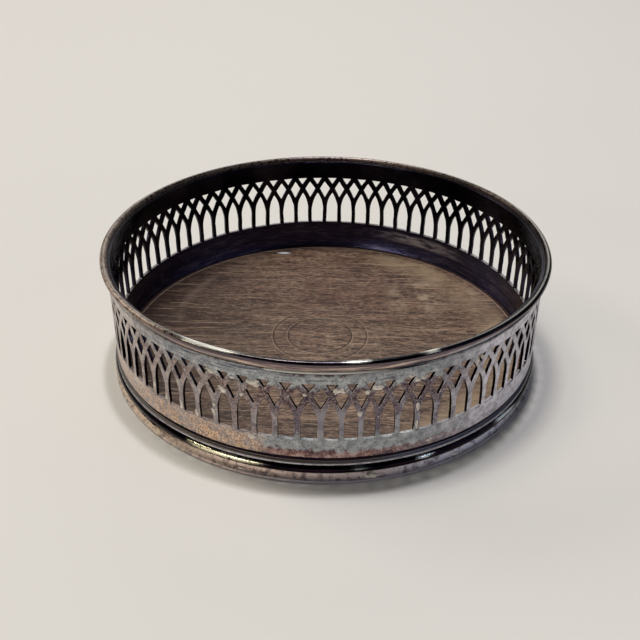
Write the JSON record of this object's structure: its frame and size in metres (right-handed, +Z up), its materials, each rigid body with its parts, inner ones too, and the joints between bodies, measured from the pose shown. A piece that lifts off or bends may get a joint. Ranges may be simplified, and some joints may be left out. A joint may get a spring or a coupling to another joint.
{
  "type": "wine bottle coaster",
  "caption": "Round wine bottle coaster: pierced gothic-arcade metal gallery with a wire rim and moulded foot round a turned wooden base.",
  "frame": {"origin": "centre of the foot ring on the table, the bottom centre of the bounding box", "axes": "+Z up along the coaster's axis; one post of the arcade stands at +Y"},
  "size_m": [0.1334, 0.1334, 0.0387],
  "materials": {
    "plated_sheet": "tarnished silver plate, worn to copper in places",
    "plated_wire": "silver plate, worn",
    "plated_moulding": "dark tarnished silver plate",
    "turned_wood": "old wax polish",
    "baize": "matt wool baize"
  },
  "bodies": {
    "root": {"gallery_band": "plated_sheet", "rim_wire": "plated_wire", "fillet_wire": "plated_wire", "base_moulding": "plated_moulding", "wood_base": "turned_wood", "baize_pad": "baize"}
  },
  "joints": []
}
